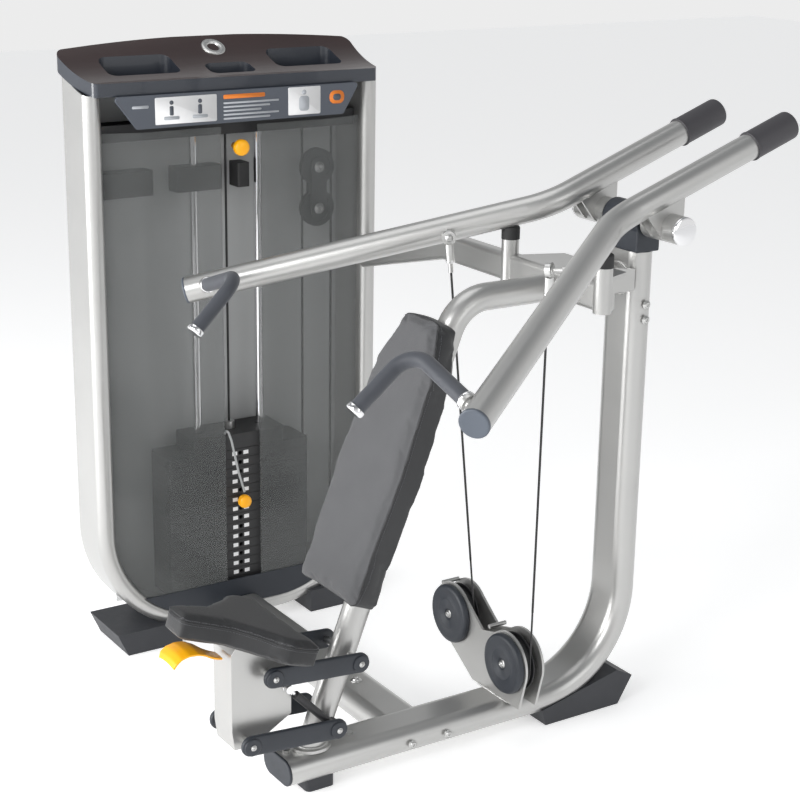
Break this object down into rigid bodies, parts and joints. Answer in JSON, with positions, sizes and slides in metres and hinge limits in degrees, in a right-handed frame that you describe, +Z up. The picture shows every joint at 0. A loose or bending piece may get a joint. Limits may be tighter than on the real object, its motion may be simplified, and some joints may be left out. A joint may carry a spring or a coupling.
{
  "type": "shoulder press machine",
  "caption": "Seated shoulder press gym machine with two pivoting press arms, cable drive and an enclosed weight stack tower.",
  "frame": {"origin": "on the floor, in the mid-plane of the two press arms, below the axis of the two arm stops; it lies on the underside of the rear foot", "axes": "+Z up, +X to the seated user's left and away from the weight tower, -Y the way the seated user faces"},
  "size_m": [1.5685, 1.5282, 1.5099],
  "materials": {
    "silver_paint": "satin metallic",
    "black_paint": "satin",
    "dark_plastic": "fine grain",
    "slate_plastic": "satin",
    "cap_brown": "satin",
    "rubber_black": "matte",
    "grip_rubber": "matte",
    "chrome": "polished",
    "zinc_steel": "satin",
    "stack_iron": "painted",
    "smoked_acrylic": "smoked",
    "vinyl": "soft grain",
    "orange_plastic": "satin",
    "cable_black": "satin",
    "placard_print": "printed",
    "sheave_nylon": "satin",
    "back_board": "black stained"
  },
  "bodies": {
    "frame": {"main_frame": "silver_paint", "rail_end_cap": "dark_plastic", "floor_feet": "dark_plastic", "base_cross_tube": "silver_paint", "back_support_tube": "silver_paint", "crossbeam": "silver_paint", "rubber_bumpers": "rubber_black", "pivot_housing": "dark_plastic", "pivot_shaft": "zinc_steel", "pulley_bracket": "silver_paint", "pulley_covers": "slate_plastic", "tower_frame": "silver_paint", "tower_rear_panel": "black_paint", "tower_base_cover": "slate_plastic", "shroud_panels": "smoked_acrylic", "top_cap": "cap_brown", "placard": "placard_print", "guide_rods": "chrome", "rod_header": "black_paint", "stack_cushions": "rubber_black", "resting_plates": "stack_iron", "increment_weights": "stack_iron", "seat_axles": "zinc_steel", "back_pad": "vinyl", "back_pad_board": "back_board", "frame_bolts": "zinc_steel", "stack_cable": "cable_black"},
    "left_press_arm": {"left_arm": "silver_paint", "left_arm_caps": "dark_plastic", "left_grip": "grip_rubber", "left_pivot_cap": "chrome"},
    "right_press_arm": {"right_arm": "silver_paint", "right_arm_caps": "dark_plastic", "right_grip": "grip_rubber", "right_pivot_cap": "chrome"},
    "left_cable_end": {"left_rod_end": "zinc_steel"},
    "right_cable_end": {"right_rod_end": "zinc_steel"},
    "left_cable_run": {"left_cable": "cable_black"},
    "right_cable_run": {"right_cable": "cable_black"},
    "left_pulley": {"left_base_pulley": "sheave_nylon"},
    "right_pulley": {"right_base_pulley": "sheave_nylon"},
    "weight_stack": {"head_plate": "stack_iron", "lifted_plates": "stack_iron", "selector_rod": "zinc_steel", "pin_lanyard": "cable_black"},
    "pin": {"selector_pin": "orange_plastic"},
    "increment_dial": {"increment_knob": "orange_plastic"},
    "stack_pulley": {"stack_top_pulley": "sheave_nylon"},
    "block_pulley": {"block_top_pulley": "sheave_nylon"},
    "pulley_block": {"floating_block": "black_paint"},
    "upper_sheave": {"block_upper_sheave": "sheave_nylon"},
    "lower_sheave": {"block_lower_sheave": "sheave_nylon"},
    "lower_link_pair": {"lower_links": "slate_plastic"},
    "upper_link_pair": {"upper_links": "slate_plastic"},
    "seat": {"seat_carriage": "silver_paint", "carriage_axles": "zinc_steel", "seat_pad": "vinyl"},
    "spring_cylinder": {"gas_spring_cylinder": "black_paint"},
    "spring_rod": {"gas_spring_rod": "chrome"},
    "seat_lever": {"release_lever": "orange_plastic"}
  },
  "joints": [
    {"name": "left_arm_press", "type": "hinge", "parent": "frame", "child": "left_press_arm", "pos_m": [0, 0.212, 1.172], "axis": [-1, 0, 0], "range_deg": [0, 45], "deforming": ["left_cable"]},
    {"name": "right_arm_press", "type": "hinge", "parent": "frame", "child": "right_press_arm", "pos_m": [0, 0.212, 1.172], "axis": [-1, 0, 0], "range_deg": [0, 45], "deforming": ["right_cable"]},
    {"name": "left_cable_swing", "type": "hinge", "parent": "left_press_arm", "child": "left_cable_end", "pos_m": [0.184, -0.158, 1.13], "axis": [-0.9997, 0.0259, 0.0029], "range_deg": [-41.52, 0]},
    {"name": "left_cable_lead", "type": "hinge", "parent": "frame", "child": "left_cable_run", "pos_m": [0.11, -0.111, 0.182], "axis": [-0.9721, -0.2253, 0.0647], "range_deg": [0, 4.65]},
    {"name": "right_cable_swing", "type": "hinge", "parent": "right_press_arm", "child": "right_cable_end", "pos_m": [-0.184, -0.158, 1.13], "axis": [-0.9996, -0.0288, -0.0033], "range_deg": [-41.35, 0]},
    {"name": "right_cable_lead", "type": "hinge", "parent": "frame", "child": "right_cable_run", "pos_m": [-0.108, -0.111, 0.223], "axis": [-0.9685, 0.2394, -0.0687], "range_deg": [0, 4.86]},
    {"name": "left_pulley_spin", "type": "hinge", "parent": "frame", "child": "left_pulley", "pos_m": [0.048, -0.111, 0.182], "axis": [0, 1, 0], "range_deg": [-260, 260]},
    {"name": "right_pulley_spin", "type": "hinge", "parent": "frame", "child": "right_pulley", "pos_m": [-0.17, -0.111, 0.223], "axis": [0, 1, 0], "range_deg": [-260, 260]},
    {"name": "block_travel", "type": "slide", "parent": "frame", "child": "pulley_block", "axis": [0, 0, 1], "range_m": [-0.28, 0]},
    {"name": "lower_sheave_spin", "type": "hinge", "parent": "pulley_block", "child": "lower_sheave", "pos_m": [-0.875, -0.0955, 1.074], "axis": [1, 0, 0], "range_deg": [-90, 90]},
    {"name": "upper_sheave_spin", "type": "hinge", "parent": "pulley_block", "child": "upper_sheave", "pos_m": [-0.875, -0.0955, 1.18], "axis": [1, 0, 0], "range_deg": [-400, 400]},
    {"name": "stack_pulley_spin", "type": "hinge", "parent": "frame", "child": "stack_pulley", "pos_m": [-0.875, -0.3125, 1.345], "axis": [1, 0, 0], "range_deg": [-760, 760]},
    {"name": "block_pulley_spin", "type": "hinge", "parent": "frame", "child": "block_pulley", "pos_m": [-0.875, -0.1805, 1.345], "axis": [1, 0, 0], "range_deg": [-760, 760]},
    {"name": "stack_lift", "type": "slide", "parent": "frame", "child": "weight_stack", "axis": [0, 0, 1], "range_m": [0, 0.56], "deforming": ["stack_cable"]},
    {"name": "pin_pull", "type": "slide", "parent": "weight_stack", "child": "pin", "axis": [1, 0, 0], "range_m": [0, 0.06]},
    {"name": "increment_turn", "type": "hinge", "parent": "frame", "child": "increment_dial", "pos_m": [-0.8, -0.355, 1.259], "axis": [1, 0, 0], "range_deg": [0, 90]},
    {"name": "seat_links", "type": "hinge", "parent": "frame", "child": "lower_link_pair", "pos_m": [0, -0.594, 0.151], "axis": [-1, 0, 0], "range_deg": [0, 38]},
    {"name": "seat_upper_links", "type": "hinge", "parent": "frame", "child": "upper_link_pair", "pos_m": [0, -0.54, 0.293], "axis": [-1, 0, 0], "range_deg": [0, 38]},
    {"name": "seat_level", "type": "hinge", "parent": "lower_link_pair", "child": "seat", "pos_m": [0, -0.802, 0.167], "axis": [-1, 0, 0], "range_deg": [-38, 0]},
    {"name": "spring_swing", "type": "hinge", "parent": "frame", "child": "spring_cylinder", "pos_m": [0, -0.594, 0.151], "axis": [-1, 0, 0], "range_deg": [0, 35]},
    {"name": "spring_extend", "type": "slide", "parent": "spring_cylinder", "child": "spring_rod", "axis": [0, -0.6906, 0.7232], "range_m": [0, 0.092]},
    {"name": "seat_release", "type": "hinge", "parent": "seat", "child": "seat_lever", "pos_m": [0, -0.842, 0.352], "axis": [1, 0, 0], "range_deg": [0, 12], "stiffness_Nm_per_rad": 4, "springref_deg": -11.46}
  ],
  "couplings": [
    {"joint": "right_arm_press", "follows": "left_arm_press", "ratio": 1},
    {"joint": "left_cable_swing", "follows": "left_arm_press", "ratio": -0.90467},
    {"joint": "left_cable_lead", "follows": "left_arm_press", "ratio": 0.09835},
    {"joint": "right_cable_swing", "follows": "left_arm_press", "ratio": -0.90083},
    {"joint": "right_cable_lead", "follows": "left_arm_press", "ratio": 0.10275},
    {"joint": "left_pulley_spin", "follows": "left_arm_press", "ratio": -5.629},
    {"joint": "right_pulley_spin", "follows": "left_arm_press", "ratio": -5.629},
    {"joint": "block_travel", "follows": "left_arm_press", "m_per_rad": -0.349},
    {"joint": "upper_sheave_spin", "follows": "left_arm_press", "ratio": 8.2118},
    {"joint": "stack_pulley_spin", "follows": "left_arm_press", "ratio": 16.424},
    {"joint": "block_pulley_spin", "follows": "left_arm_press", "ratio": 16.424},
    {"joint": "stack_lift", "follows": "left_arm_press", "m_per_rad": 0.698},
    {"joint": "seat_upper_links", "follows": "seat_links", "ratio": 1},
    {"joint": "seat_level", "follows": "seat_links", "ratio": -1},
    {"joint": "spring_swing", "follows": "seat_links", "ratio": 0.84},
    {"joint": "spring_extend", "follows": "seat_links", "m_per_rad": 0.1355}
  ]
}
